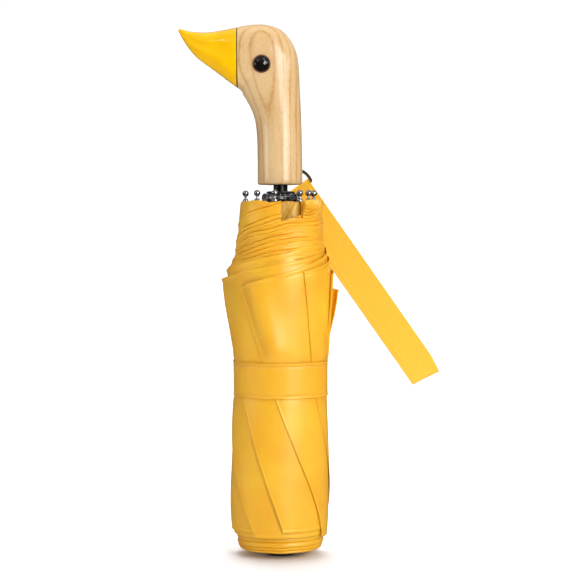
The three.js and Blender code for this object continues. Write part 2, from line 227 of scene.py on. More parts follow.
def wire(name, path, radius, material, closed=False, sides=5, **where):
    """A round wire along points in millimetres."""
    data = bpy.data.curves.new(name, "CURVE")
    data.dimensions = "3D"
    data.bevel_depth = radius * MM
    data.bevel_resolution = sides
    data.use_fill_caps = True
    spline = data.splines.new("POLY")
    spline.points.add(len(path) - 1)
    for point, place in zip(spline.points, path):
        point.co = (*(place * MM), 1)
    spline.use_cyclic_u = closed
    holder = bpy.data.objects.new(name + "_curve", data)
    mesh = bpy.data.meshes.new_from_object(holder)
    bpy.data.objects.remove(holder)
    return new_object(name, mesh, material, **where)


# ---- materials ----


class Nodes:
    """A short way to lay out a material's nodes."""

    def __init__(self, name):
        self.material = bpy.data.materials.new(name)
        self.material.use_nodes = True
        self.tree = self.material.node_tree
        self.shader = self.tree.nodes["Principled BSDF"]

    def add(self, kind, values=None, **settings):
        """A node with its settings, and values for its sockets."""
        node = self.tree.nodes.new(kind)
        for key, value in settings.items():
            setattr(node, key, value)
        for socket, value in (values or {}).items():
            node.inputs[socket].default_value = value
        return node

    def link(self, source, target):
        self.tree.links.new(source, target)

    def coordinates(self, kind="Object", scale=(1, 1, 1), turn=(0, 0, 0), move=(0, 0, 0)):
        place = self.add("ShaderNodeTexCoord")
        mapping = self.add("ShaderNodeMapping", {"Scale": scale, "Rotation": turn, "Location": move})
        self.link(place.outputs[kind], mapping.inputs["Vector"])
        return mapping.outputs["Vector"]

    def noise(self, vector, scale, detail=3.0, roughness=0.5):
        node = self.add("ShaderNodeTexNoise", {"Scale": scale, "Detail": detail, "Roughness": roughness})
        self.link(vector, node.inputs["Vector"])
        return node.outputs["Fac"]

    def ramp(self, factor, stops):
        node = self.add("ShaderNodeValToRGB")
        elements = node.color_ramp.elements
        while len(elements) < len(stops):
            elements.new(0.5)
        for element, (place, color) in zip(elements, stops):
            element.position = place
            element.color = (*color, 1)
        self.link(factor, node.inputs["Fac"])
        return node.outputs["Color"]

    def spread(self, factor, low, high):
        node = self.add("ShaderNodeMapRange", {"To Min": low, "To Max": high})
        self.link(factor, node.inputs["Value"])
        return node.outputs["Result"]

    def math(self, operation, a, b):
        node = self.add("ShaderNodeMath", operation=operation)
        for socket, value in zip(node.inputs, (a, b)):
            if isinstance(value, (int, float)):
                socket.default_value = value
            else:
                self.link(value, socket)
        return node.outputs["Value"]

    def wave(self, vector, scale, direction, distortion=0.0):
        """Bands across an axis."""
        node = self.add("ShaderNodeTexWave", {"Scale": scale, "Distortion": distortion})
        node.bands_direction = direction
        self.link(vector, node.inputs["Vector"])
        return node.outputs["Fac"]

    def bump(self, height, strength, distance_mm, before=None):
        node = self.add("ShaderNodeBump", {"Strength": strength, "Distance": distance_mm * MM})
        self.link(height, node.inputs["Height"])
        if before:
            self.link(before, node.inputs["Normal"])
        return node.outputs["Normal"]

    def finish(self, color=None, rough=None, normal=None, **constants):
        for socket, value in (("Base Color", color), ("Roughness", rough), ("Normal", normal)):
            if value is not None:
                self.link(value, self.shader.inputs[socket])
        for key, value in constants.items():
            self.shader.inputs[key.replace("_", " ")].default_value = value
        return self.material


BANDS_PER_UNIT = 3.2  # how often a wave texture of scale 1 repeats in one unit


def cloth_material(name, dark, light, thread_mm=0.32, rough=(0.33, 0.42)):
    """Fine plain-woven satin polyester: crossing threads, faint slubs and soft creases."""
    n = Nodes(name)
    fabric = n.coordinates("UV")
    body = n.coordinates()
    per_cm = 10 / thread_mm / BANDS_PER_UNIT
    warp = n.wave(fabric, per_cm, "X", 0.3)
    weft = n.wave(fabric, per_cm, "Y", 0.3)
    weave = n.math("MULTIPLY", warp, weft)
    slub = n.noise(n.coordinates("UV", scale=(1, 14, 1)), 9, 2)
    crease = n.noise(n.coordinates(scale=(1, 1, 0.35)), 110, 3, 0.55)
    tone = n.noise(body, 42, 3)
    shade = n.math("ADD", n.math("MULTIPLY", tone, 0.75), n.math("MULTIPLY", slub, 0.25))
    color = n.ramp(shade, [(0.3, dark), (0.7, light)])
    normal = n.bump(weave, 0.25, 0.06, n.bump(crease, 0.35, 0.5))
    return n.finish(
        color, n.spread(slub, *rough), normal, Specular_IOR_Level=0.75,
        Specular_Tint=(1.0, 0.82, 0.45, 1), Coat_Weight=0.7, Coat_Roughness=0.38,
        Subsurface_Weight=0.12, Subsurface_Scale=0.6 * MM, Subsurface_Radius=(1.0, 0.8, 0.3),
    )


def webbing_material(name, dark, light):
    """Flat close-woven strap: fine ribs across it under a slanting twill."""
    n = Nodes(name)
    fabric = n.coordinates("UV")
    slant = n.wave(n.coordinates("UV", turn=(0, 0, math.radians(38))), 7, "X", 0.4)
    ribs = n.wave(fabric, 11, "Y", 0.2)
    tone = n.noise(n.coordinates("UV", scale=(6, 1, 1)), 3, 4)
    color = n.ramp(tone, [(0.3, dark), (0.7, light)])
    height = n.math("ADD", n.math("MULTIPLY", slant, 0.5), n.math("MULTIPLY", ribs, 0.5))
    normal = n.bump(height, 0.35, 0.08)
    return n.finish(color, n.spread(tone, 0.5, 0.68), normal, Sheen_Weight=0.3, Sheen_Roughness=0.45)


def wood_material(name):
    """Pale close-grained wood under clear lacquer: thin growth lines, fine flecks and soft clouds."""
    n = Nodes(name)
    tilted = n.coordinates(scale=(1, 1, 0.16), turn=(0.16, 0.1, 0), move=(0.006, 0.03, 0.0))
    warp = {"Scale": 70, "Distortion": 4.5, "Detail": 2.5, "Detail Scale": 0.7}
    rings = n.add("ShaderNodeTexWave", warp, wave_type="RINGS", rings_direction="Z")
    n.link(tilted, rings.inputs["Vector"])
    lines = n.math("POWER", rings.outputs["Fac"], 5.0)
    streak = n.noise(n.coordinates(scale=(1, 1, 0.06)), 900, 4, 0.6)
    cloud = n.noise(n.coordinates(scale=(1, 1, 0.5)), 60, 3)
    flecks = n.noise(n.coordinates(scale=(1, 1, 0.3)), 1500, 2)
    pores = n.noise(n.coordinates(scale=(1, 1, 0.12)), 2600, 2)
    grain = n.math("ADD", n.math("MULTIPLY", lines, -0.2), n.math("MULTIPLY", streak, 0.3))
    grain = n.math("ADD", grain, n.math("MULTIPLY", cloud, 0.45))
    grain = n.math("ADD", grain, n.math("MULTIPLY", flecks, 0.35))
    color = n.ramp(grain, [
        (0.26, (0.5, 0.25, 0.075)), (0.42, (0.61, 0.37, 0.15)), (0.55, (0.68, 0.45, 0.21)),
        (0.75, (0.71, 0.505, 0.265)),
    ])
    normal = n.bump(pores, 0.12, 0.05)
    return n.finish(color, n.spread(cloud, 0.28, 0.42), normal, Coat_Weight=0.6, Coat_Roughness=0.17,
                    Coat_IOR=1.45)


def lacquer_material(name, dark, light, rough=0.16, coat=0.45, specular=0.3, tint=(1, 1, 1, 1)):
    """Paint under gloss, with faint orange peel and small scuffs."""
    n = Nodes(name)
    body = n.coordinates()
    tone = n.noise(body, 70, 3)
    scuff = n.noise(n.coordinates(scale=(1, 1, 0.3)), 520, 5, 0.7)
    color = n.ramp(tone, [(0.3, dark), (0.7, light)])
    normal = n.bump(n.noise(body, 900, 2), 0.12, 0.05)
    return n.finish(
        color, n.spread(scuff, rough * 0.7, rough * 1.6), normal, Coat_Weight=coat, Coat_Roughness=0.05,
        Coat_IOR=1.4, Specular_IOR_Level=specular, Specular_Tint=tint,
    )


def plastic_material(name, color, rough):
    """Moulded plastic with a fine grain."""
    n = Nodes(name)
    grain = n.noise(n.coordinates(), 1900, 2)
    tone = n.noise(n.coordinates(), 120, 3)
    lighter = tuple(c * 1.7 + 0.004 for c in color)
    shade = n.ramp(tone, [(0.35, color), (0.75, lighter)])
    return n.finish(shade, n.spread(grain, rough - 0.08, rough + 0.12), n.bump(grain, 0.2, 0.05))


def metal_material(name, color, rough, brushed=(1, 1, 0.05)):
    """Metal with fine lines, drawn out along the axis that brushed makes smallest, and dull spots."""
    n = Nodes(name)
    lines = n.noise(n.coordinates(scale=brushed), 2400, 3, 0.6)
    spots = n.noise(n.coordinates(), 160, 4)
    darker = tuple(c * 0.72 for c in color)
    shade = n.ramp(spots, [(0.3, darker), (0.6, color)])
    normal = n.bump(lines, 0.12, 0.03)
    return n.finish(shade, n.spread(lines, rough * 0.7, rough * 1.5), normal, Metallic=1.0)


YELLOW_SATIN = ((0.84, 0.355, 0.003), (0.87, 0.485, 0.014))  # where it is dark and where it is light
CANOPY = cloth_material("canopy_satin", *YELLOW_SATIN)
# The hem's inside turn is the same yellow satin. Its darker colours are painted shade for where it lies
# deep in the roll.
SATIN_IN_PAINTED_SHADE = cloth_material("canopy_lining", (0.44, 0.2, 0.008), (0.74, 0.43, 0.05), rough=(0.34, 0.44))
BAND_CLOTH = cloth_material("band_cloth", *YELLOW_SATIN, thread_mm=0.36)
THREAD = cloth_material("stitch_thread", (0.80, 0.38, 0.03), (0.95, 0.60, 0.12), thread_mm=0.1)
WEBBING = webbing_material("strap_webbing", (0.88, 0.45, 0.012), (0.94, 0.51, 0.02))
WOOD = wood_material("handle_wood")
BEAK_PAINT = lacquer_material("beak_lacquer", (0.88, 0.45, 0.0), (0.95, 0.53, 0.001), coat=0.8,
                              tint=(1, 0.8, 0.2, 1))
SEAM_PAINT = lacquer_material("beak_seam_paint", (0.016, 0.005, 0.002), (0.04, 0.011, 0.004), rough=0.3)
EYE_GLOSS = lacquer_material("eye_gloss", (0.001, 0.001, 0.001), (0.004, 0.002, 0.002), rough=0.06,
                             coat=0.9)
EYE_RIM = lacquer_material("eye_rim", (0.17, 0.03, 0.01), (0.27, 0.055, 0.018), rough=0.2)
BLACK_PLASTIC = plastic_material("black_plastic", (0.012, 0.012, 0.013), 0.38)
SHAFT_COAT = metal_material("shaft_black_coat", (0.035, 0.035, 0.038), 0.28)
RIB_STEEL = metal_material("rib_plated_steel", (0.5, 0.51, 0.53), 0.12)
WIRE_STEEL = metal_material("drawn_wire", (0.55, 0.56, 0.58), 0.3)
RING_STEEL = metal_material("ring_dark_nickel", (0.3, 0.305, 0.32), 0.14, brushed=(1, 1, 1))


# ---- the roll's shape ----

# Radius of the rolled core by height. The flaps lie on it, and its upper part is the layered hem.
CORE = [
    (9, 23.1), (13, 23.9), (20, 24.6), (40, 25.2), (70, 24.6), (88, 23.8), (100, 23.2),
    (113, 24.3), (130, 25.0), (148, 26.0), (158, 26.4), (166, 25.5), (174, 24.7), (182, 24.0),
    (190, 23.6), (199, 22.5),
]
HEM_TOP = 198.6
BAND_MIDDLE = 99.8
WRAP_DEG = 190.0  # how far each flap goes round
FLAP_PILE = 2.1  # from the outermost flap down to the innermost
INNER_GAP = 0.5  # from the innermost flap down to the core
END_SINK = 1.6  # how deep a flap's inner end goes
BAND_PINCH = 0.45


def core_radius(z):
    return curve_through(CORE, z)


# Each flap: the line of its free edge from its top corner down, as (height, phi), then how far that
# corner stands off the roll and how soon that fades down the edge and round the roll, how steeply the
# top edge climbs, where the foot ends, how much of the hem is rolled under, how far the cloth puffs out
# beside the edge, and how far the edge stands off below the band.
FLAPS = [
    dict(edge=[(155, -100), (135, -88), (113, -72), (98, -59), (83.5, -45.8), (51, -20.9), (16, 4)],
         lift=4.0, reach=26, climb=0.092, foot=16.2, turn=0.5, flare=14, puff=0.8, skirt=0.7),
    dict(edge=[(151.4, -49.6), (130, -35), (110, -20.2), (90.6, -6.1), (56.5, 22.2), (29, 47), (13, 60)],
         lift=-0.1, reach=300, climb=0.145, foot=11.6, turn=0.3, flare=17, puff=2.6, skirt=0.2),
    dict(edge=[(160, 27), (135, 34), (110, 41.3), (91.5, 48), (65, 66), (40, 88), (13, 112)],
         lift=-0.4, reach=300, climb=0.11, foot=13.2, turn=0.3, flare=17, puff=0.6, skirt=0.3),
    dict(edge=[(158.5, 77), (135, 80), (110, 86), (91, 94), (65, 112), (40, 134), (13, 158)],
         lift=1.1, reach=36, climb=0.1, foot=12.4, turn=1.5, flare=12, puff=0.7, skirt=0.5),
    dict(edge=[(149, 105), (130, 108), (110, 118), (91, 129), (65, 148), (40, 171), (13, 196)],
         lift=5.2, reach=30, climb=0.13, foot=14.0, turn=0.9, flare=8, puff=0.7, skirt=0.6),
    dict(edge=[(154, 146), (132, 155), (110, 167), (91, 180), (65, 199), (40, 220), (13, 243)],
         lift=1.2, reach=60, climb=0.1, foot=12.6, turn=0.5, flare=17, puff=0.8, skirt=0.6),
    dict(edge=[(152, 184), (132, 194), (110, 206), (91, 219), (65, 238), (40, 259), (13, 282)],
         lift=1.0, reach=70, climb=0.11, foot=15.0, turn=0.5, flare=17, puff=0.8, skirt=0.6),
    dict(edge=[(156, 223), (132, 235), (110, 248), (91, 262), (65, 283), (40, 305), (13, 330)],
         lift=1.1, reach=60, climb=0.1, foot=13.0, turn=0.5, flare=17, puff=0.8, skirt=0.6),
]


def side_bulge(phi, z):
    """The hem's lowest turns stand out on the side under the beak."""
    off = (phi + 270) % 360 - 180
    return 1.9 * bell(z - 160, 4.5) * bell(off, 42)


def flap_radius(z, delta):
    """Where a flap lies, delta degrees round from its free edge.

    Flaps pile up towards their free edges, sink into the core at their ends, and the band pinches them.
    """
    pile = INNER_GAP + FLAP_PILE * (1 - delta / WRAP_DEG)
    sunk = END_SINK * smooth((delta - 150) / 35)
    pinch = BAND_PINCH * smooth((13 - abs(z - BAND_MIDDLE)) / 4)
    return core_radius(z) + pile - sunk - pinch


EDGE_STEPS = [0, 0.35, 0.8, 1.5, 2.0, 2.5, 3.4, 5.0]  # millimetres from a hemmed edge
SIDE_STEPS = [  # degrees round from the free edge
    0, 0.8, 1.8, 3, 5, 7.5, 10.5, 14, 18, 23, 28, 34, 41, 49, 58, 68, 80, 94, 110, 128, 148, 170, 190,
]
FLAP_LEVELS = 44  # steps up a flap between its hems


def hem(distance):
    """How far a turned and stitched hem stands out, by distance from its edge."""
    bead = 0.22 * smooth((2.1 - distance) / 1.2) * (0.75 + 0.25 * smooth(distance / 0.4))
    stitch = -0.16 * bell(distance - 2.05, 0.28)
    return bead + stitch


def turned_under(row, size):
    """The part of a hem that is rolled back under its free edge, as points that lead up to it."""
    out = Vector((row[0].x, row[0].y, 0)).normalized()
    back = (row[0] - row[1]).normalized()
    lead = []
    for angle in (-100, -60, -20, 20, 60):
        turn = math.radians(angle)
        lead.append(row[0] - out * size / 2 * (1 - math.sin(turn)) + back * size / 2 * math.cos(turn))
    return lead


def flap_stand_off(number, flap, phi, z, delta):
    """How far a flap stands off its place in the pile, delta degrees round from its free edge."""
    top_edge = flap["edge"][0][0]
    above_band = smooth((z - BAND_MIDDLE - 9) / 7)
    clear_of_band = smooth((abs(z - BAND_MIDDLE) - 8) / 10)
    corner = bell(top_edge - z, flap["reach"]) * bell(delta, flap["flare"])
    lift = flap["lift"] * corner
    fold = 0.16 * smooth((1.6 - delta) / 1.2)
    slack = ripple(phi * 0.8, z * 0.6, 0.34, 3.7 * number) * smooth(delta / 12) * clear_of_band
    puff = flap["puff"] * smooth(delta / 14) * smooth((40 - delta) / 24)
    puff *= above_band * math.cos(math.radians(phi)) ** 2
    skirt = flap["skirt"] * smooth((84 - z) / 30) * bell(delta, 18)
    hems = hem(top_edge - z) + hem(z - flap["foot"]) * 0.8
    return lift + fold + slack + puff + skirt + hems


def flap_rows(number, flap):
    """A flap's points, row by row from its foot, each row from the free edge round."""
    edge = sorted(flap["edge"])
    top = edge[-1][0]
    foot = flap["foot"]
    heights = [foot + s for s in EDGE_STEPS] + [top - s for s in EDGE_STEPS]
    heights += [mix(foot + 6.5, top - 6.5, i / FLAP_LEVELS) for i in range(FLAP_LEVELS + 1)]
    rows = []
    for z in sorted(heights):
        along = (z - foot) / (top - foot)
        row = []
        for delta in SIDE_STEPS:
            phi = curve_through(edge, z) + delta
            up = z + flap["climb"] * delta * along ** 4 + ripple(phi, z, 0.35, number) * along
            radius = flap_radius(up, delta) + flap_stand_off(number, flap, phi, z, delta)
            row.append(round_point(phi, radius + side_bulge(phi, up), up))
        rows.append(turned_under(row, flap["turn"]) + row)
    return rows


def canopy_layer(name, rows, thickness, material=CANOPY, **more):
    """A layer of the rolled cloth."""
    return cloth(name, rows, material, thickness, body="folded_frame", slot="canopy_cloth", **more)


def make_flap(number, flap):
    """One gore's outer layer, with its turned edges."""
    gore = [f"canopy_gore_{number}"]
    piece = canopy_layer(f"canopy_flap_{number}", flap_rows(number, flap), 0.18, replaces=gore)


# ---- core, with the layered hem at its top ----

# Heights, at phi 0, of the hems that climb round the top of the roll, and how far each layer stands
# out at its edge.
HEM_LAYERS = [
    (197.6, 0.7), (191.4, 1.1), (188.9, 0.7), (185.4, 1.1), (183.3, 0.6), (180.0, 1.0), (177.4, 0.8),
    (174.9, 0.7), (171.9, 1.1), (169.2, 0.7), (166.4, 0.9),
]
HEM_CLIMB = [(-180, -17), (-90, -11.5), (-45, -5.4), (0, 0), (45, 1.9), (90, 3.6), (180, 6.5)]
NOTCH = (1.2, 30.5)  # the gap between the hem's first and last turns
NOTCH_FOOT = (187.8, 191.2)


def hem_offset(level, phi):
    """The layered hem's stand-off, by height along its climb. Each hem comes and goes as it runs."""
    total = 0.0
    for i, (height, size) in enumerate(HEM_LAYERS):
        below = height - level
        if not -1 < below < 9:
            continue
        run = 0.72 + 0.9 * noise.noise(round_point(phi, 1.6, i * 7.3)) - 0.3 * smooth((phi - 5) / 40)
        run = min(max(run, 0.2), 1.1)
        total -= 0.5 * run * bell(below + 0.22, 0.16)
        if below > 0:
            total += size * run * smooth(below / 0.3) * math.exp(-((below / 3.2) ** 1.5))
            total -= 0.26 * run * bell(below - 1.6, 0.16)
    return min(total, 1.7) * smooth((level - 160) / 4)


def hem_rim(phi):
    """The height of the roll's top edge."""
    top = HEM_TOP + 0.3 * sine(phi * 9) + 0.22 * sine(phi * 31 + 40) + ripple(phi, 0, 0.9, 5.0)
    if NOTCH[0] <= phi <= NOTCH[1]:
        t = (phi - NOTCH[0]) / (NOTCH[1] - NOTCH[0])
        return mix(*NOTCH_FOOT, t ** 1.3)
    return top


def around(step=2.0, edges=NOTCH):
    """Angles right round from the back and up to it again, with a close pair at each edge."""
    angles = {round(-180 + i * step, 3) for i in range(int(360 / step) + 1)}
    for edge in edges:
        angles |= {edge - 0.05, edge + 0.05}
    return sorted(angles)


def core_point(phi, level, climb_share):
    """A point of the core, whose rows follow the hems' climb near the top."""
    climb = curve_through(HEM_CLIMB, phi)
    z = level + (climb + ripple(phi, level * 3, 1.1, 2.2)) * climb_share
    held = min(z, hem_rim(phi))
    seam = 1.2 * smooth((phi - 150) / 34)
    lip = -0.35 * smooth((held - hem_rim(phi) + 1.2) / 1.2)
    relief = hem_offset(level - (z - held), phi) + seam + lip
    radius = core_radius(held) + relief + ripple(phi, held, 0.5, 1.0) * smooth((held - 20) / 10)
    return round_point(phi, radius + side_bulge(phi, held) - 0.3, held)


def core_levels():
    """Heights of the core's rows, closest where a hem's edge or its stitches run."""
    levels = [9.5 + i * 6 for i in range(20)]
    level = 130.0
    while level < 217:
        levels.append(level)
        near = min(abs(level - height) for height, _ in HEM_LAYERS)
        if level < 156:
            level += 4.0
        elif near < 0.5 or 1.3 < near < 1.9:
            level += 0.12
        elif near < 2.2:
            level += 0.3
        else:
            level += 0.8
    return levels


def make_core():
    """The roll under the flaps. Its layered hem shows at the top, and its ends overlap at the back."""
    angles = around() + [182.0, 184.0, 186.0, 188.0]
    rows = []
    for level in core_levels():
        climb_share = smooth((level - 110) / 40)
        rows.append([core_point(phi, level, climb_share) for phi in angles])
    core = canopy_layer("canopy_core", rows, 0.22)


LINING_RADIUS = 21.35
LINING_LEVELS = 60


def make_lining():
    """The inside turn of the hem, seen through the notch and from above, in satin darkened as painted
    shade.
    """
    rows = []
    for i in range(LINING_LEVELS + 1):
        z = mix(150, 198.2, i / LINING_LEVELS)
        row = []
        for phi in around(1.5, ()):
            fold = 0.28 * sine(phi * 11 + z * 3) + ripple(phi, z, 0.6, 8.0)
            fold = min(max(fold * 1.8, -0.3), 0.15)
            crease = -1.2 * bell(phi - 12 - (z - 193) * 1.6, 3.6)
            tuck = 0.35 * smooth((z - 196) / 2)
            up = z + 0.4 * sine(phi * 7)
            row.append(round_point(phi, LINING_RADIUS + fold + crease - tuck, up))
        rows.append(row)
    piece = canopy_layer("canopy_lining", rows, 0.15, SATIN_IN_PAINTED_SHADE)


SCALES = 5


def scale_point(size, top, base, reach, turn):
    """A point of a rolled corner: reach out from its root at the notch, turned down from level."""
    from_edge = reach - size
    curl = 1.25 * smooth((from_edge + 1.3) / 1.1) - 0.5 * smooth((from_edge + 0.4) / 0.4)
    phi = NOTCH[1] + math.degrees(1.95 * reach * math.cos(turn) / base)
    return round_point(phi, base + curl, top + reach * math.sin(turn))


def make_scales():
    """Rolled corners of the hem beside the notch, one over the next like fish scales."""
    for i in range(SCALES):
        size = 2.8 + 1.4 * i
        top = 199.0 - 0.3 * i
        base = 26.9 - 0.5 * i
        turns = [math.radians(mix(14, -92, m / 16)) for m in range(17)]
        rows = [[scale_point(size, top, base, size * n / 12, turn) for turn in turns] for n in range(13)]
        canopy_layer(f"hem_scale_{i + 1}", rows, 0.2)


# Height and radius down the cloth that is gathered round the foot, with its three lower hems.
FOOT_PROFILE = [
    (16.5, 23.4), (13.0, 24.0), (11.4, 24.3), (10.7, 24.3), (10.4, 24.1), (10.35, 23.2), (10.6, 22.7),
    (10.0, 23.5), (9.0, 24.0), (8.0, 24.2), (7.6, 24.1), (7.35, 23.9), (7.3, 23.0), (7.55, 22.5),
    (7.0, 23.3), (6.2, 23.7), (5.85, 23.6), (5.6, 23.3), (5.5, 22.6), (5.7, 22.1), (5.2, 22.9),
    (4.6, 23.1), (4.3, 22.9), (4.0, 22.3), (3.9, 21.4), (4.1, 20.9), (3.75, 20.9), (3.35, 19.6),
    (2.95, 17.3), (2.65, 13.8), (2.6, 10.2),
]


def make_foot_layers():
    """The cloth gathered round the foot, over the cap's edge."""
    rows = []
    for z, radius in FOOT_PROFILE:
        free = smooth((z - 3) / 3)
        row = []
        for phi in around(3, ())[:-1]:
            tilt = 0.45 * sine(phi + 40) * free
            up = z + tilt + ripple(phi, 0, 0.5, 6.0) * free
            row.append(round_point(phi, radius + ripple(phi, z, 0.35, 2.0), up))
        rows.append(row)
    piece = canopy_layer("canopy_foot", rows[::-1], 0.15, closed=True)


for number, flap in enumerate(FLAPS, 1):
    make_flap(number, flap)
make_core()
make_lining()
make_scales()
make_foot_layers()


# ---- closure band ----

band_low, band_high = (corner.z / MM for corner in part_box("closure_band"))
tab_low, tab_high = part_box("closure_tab")
BAND_RADIUS = 26.5
BAND_THICKNESS = 0.3
SEAM_INSET = 1.75  # from the band's edge to its stitches
BAND_STEPS = (0, 0.2, 0.5, 0.9, 1.2, 1.45, 1.75, 2.05, 2.5, 3.2, 4.4)  # millimetres from the band's edge
TAB_PHI = (148.0, 194.0)
TAB_RADIUS = 28.2  # outside the band and its stitches


def band_edge(distance):
    """The band's turned edges: a rolled rim and a stitched valley inside it."""
    rim = 0.24 * smooth((1.3 - distance) / 0.7) * smooth((distance + 0.4) / 0.5)
    valley = -0.26 * bell(distance - SEAM_INSET, 0.3)
    return rim + valley


def band_wave(phi, z):
    """How unevenly the band lies: outwards, and up."""
    return ripple(phi, z, 0.25, 9.0), ripple(phi, 0, 0.5, 4.0)


def flat_radius(phi):
    """The band's, the same all round."""
    return BAND_RADIUS


def tab_radius(phi):
    """The free end comes up over the band."""
    return mix(BAND_RADIUS + 0.1, TAB_RADIUS, smooth((phi - TAB_PHI[0]) / 5))


def band_rows(low, high, angles, radius):
    heights = {low + step for step in BAND_STEPS} | {high - step for step in BAND_STEPS}
    heights |= {mix(low + 5.5, high - 5.5, i / 6) for i in range(7)}
    rows = []
    for z in sorted(heights):
        edge = band_edge(z - low) + band_edge(high - z)
        row = []
        for phi in angles:
            out, up = band_wave(phi, z)
            row.append(round_point(phi, radius(phi) + edge + out, z + up))
        rows.append(row)
    return rows


STITCH_LENGTH = 1.9
STITCH_THICK = 0.2
STITCH_STEP = 5.4  # degrees from one to the next
STITCHES = 66
SECOND_SEAM = 2.9  # a second row's distance from the upper edge
STITCH_SIDES = 6
STITCH_RINGS = 5


def stitch_ring(phi, z, t):
    """One ring of a stitch's thread, t of the way along it, which dips into the cloth at both ends."""
    half = math.degrees(STITCH_LENGTH / 2 / BAND_RADIUS)
    out, up = band_wave(phi, z)
    bulge = STITCH_THICK * math.sin(math.pi * mix(0.12, 0.88, t))
    centre = round_point(phi + mix(-half, half, t), BAND_RADIUS - 0.02 + out, z + up)
    circle = arc([360 * a / STITCH_SIDES for a in range(STITCH_SIDES)], bulge, bulge)
    return [centre + round_point(phi, x, y) for x, y in circle]


def make_stitches():
    """Rows of short thread stitches lying on the band."""
    points, faces = [], []
    for z in (band_low + SEAM_INSET, band_high - SEAM_INSET, band_high - SECOND_SEAM):
        for n in range(STITCHES):
            faces += tube_faces(len(points), STITCH_SIDES, STITCH_RINGS)
            for k in range(STITCH_RINGS):
                points += stitch_ring(n * STITCH_STEP - 180, z, k / (STITCH_RINGS - 1))
    mesh = mesh_of("band_stitching", points, faces)
    return new_object("band_stitching", mesh, THREAD, "folded_frame", slot="band_cloth")


def make_band():
    rows = band_rows(band_low, band_high, around(3, ())[:-1], flat_radius)
    band = cloth("band", rows, BAND_CLOTH, BAND_THICKNESS, closed=True, body="folded_frame",
                 replaces=["closure_band"], slot="band_cloth")
    make_stitches()


def make_tab():
    """The band's free end, which bends up from the band."""
    angles = [mix(*TAB_PHI, i / 40) for i in range(41)]
    low, high = tab_low.z / MM, tab_high.z / MM
    rows = band_rows(low, high, angles, tab_radius)
    tab = cloth("band_tab", rows, BAND_CLOTH, BAND_THICKNESS, replaces=["closure_tab"], slot="band_cloth")
    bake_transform(tab)


make_band()
make_tab()


# ---- duck-head handle ----

# Ovals across the handle: front point and back point in the XZ plane, and half width.
WOOD_OVALS = [
    (-12.9, 209.2, 12.3, 209.2, 12.2), (-12.9, 222, 12.2, 222, 12.2),
    (-13.1, 233, 11.9, 236, 12.2), (-13.9, 242, 11.4, 250, 12.3),
    (-15.7, 248.6, 10.8, 262, 12.7), (-18.0, 253.4, 10.3, 273, 13.2),
    (-19.9, 256.6, 8.9, 281.8, 13.6), (-21.0, 258.3, 5.5, 288.8, 13.9),
    (-21.5, 260.0, 0.2, 294.4, 14.1), (-22.4, 260.9, -8.0, 297.2, 14.1),
    (-23.2, 261.6, -16.5, 297.2, 14.0), (-23.7, 262.0, -24.0, 295.9, 13.8),
]
BEAK_OVALS = [
    (-24.05, 262.2, -24.35, 295.7, 13.7), (-29.0, 265.7, -29.0, 294.9, 13.0),
    (-35.0, 270.2, -35.0, 293.8, 11.3), (-41.0, 274.6, -41.0, 293.1, 9.2),
    (-46.0, 278.3, -46.0, 293.2, 7.2), (-50.5, 283.0, -50.8, 293.7, 5.1),
    (-54.2, 288.3, -54.6, 294.6, 3.1), (-56.4, 292.4, -56.8, 295.2, 1.3),
]
HEAD_SIDES = 72


def refine(stations, parts=6):
    """Stations again, with smooth steps between them."""
    lines = [list(enumerate(values)) for values in zip(*stations)]
    steps = (len(stations) - 1) * parts
    return [[curve_through(line, i / parts) for line in lines] for i in range(steps + 1)]


def oval(station, squareness, ridge=0.0):
    """One section. squareness above 2 flattens its cheeks, and ridge pinches a line along its side."""
    x0, z0, x1, z1, half = station
    centre = Vector(((x0 + x1) / 2, 0, (z0 + z1) / 2))
    along = Vector((x1 - x0, 0, z1 - z0)) / 2
    points = []
    for j in range(HEAD_SIDES):
        turn = 2 * math.pi * j / HEAD_SIDES
        c, s = math.cos(turn), math.sin(turn)
        power = 2 / squareness
        length = math.copysign(abs(c) ** power, c)
        width = math.copysign(abs(s) ** power, s)
        line = 0.9 * bell(c + 0.42, 0.2)
        hollow = 0.8 * bell(c - 0.15, 0.35)
        pinch = ridge * (line - hollow)
        points.append(centre + along * length + Vector((0, half * width * (1 + pinch), 0)))
    return points


def shrunk(row, amount):
    """A ring of points drawn in towards its middle by amount."""
    middle = sum(row, Vector()) / len(row)
    return [middle + (p - middle) * (1 - amount / max((p - middle).length, amount * 2)) for p in row]


def head_piece(name, rows, material, **where):
    """A solid piece of the handle and head."""
    skin(name, rows, material, closed=True, caps=True, body="handle_set", **where)


BORE_RADIUS = 4.35
BORE_DEPTH = 9.0
HANDLE_BEVEL = 1.2


def make_handle():
    """The wooden handle and head, with the shaft's hole in its foot."""
    rows = [oval(s, mix(2.0, 2.45, smooth((s[3] - 250) / 40))) for s in refine(WOOD_OVALS)]
    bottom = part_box("handle")[0].z / MM
    bore = []
    for z in (bottom + BORE_DEPTH, bottom):
        bore.append([round_point(90 + 360 * j / HEAD_SIDES, BORE_RADIUS, z) for j in range(HEAD_SIDES)])
    bevel = []
    for angle in (90, 60, 30):
        turn = math.radians(angle)
        edge = shrunk(rows[0], HANDLE_BEVEL * (1 - math.cos(turn)) + 0.001)
        z = bottom + HANDLE_BEVEL * (1 - math.sin(turn))
        bevel.append([Vector((p.x, p.y, z)) for p in edge])
    rows = bore + bevel + rows + [shrunk(rows[-1], 0.5)]
    head_piece("duck_handle", rows, WOOD, slot="handle_wood", replaces=["handle"], sharp=50)


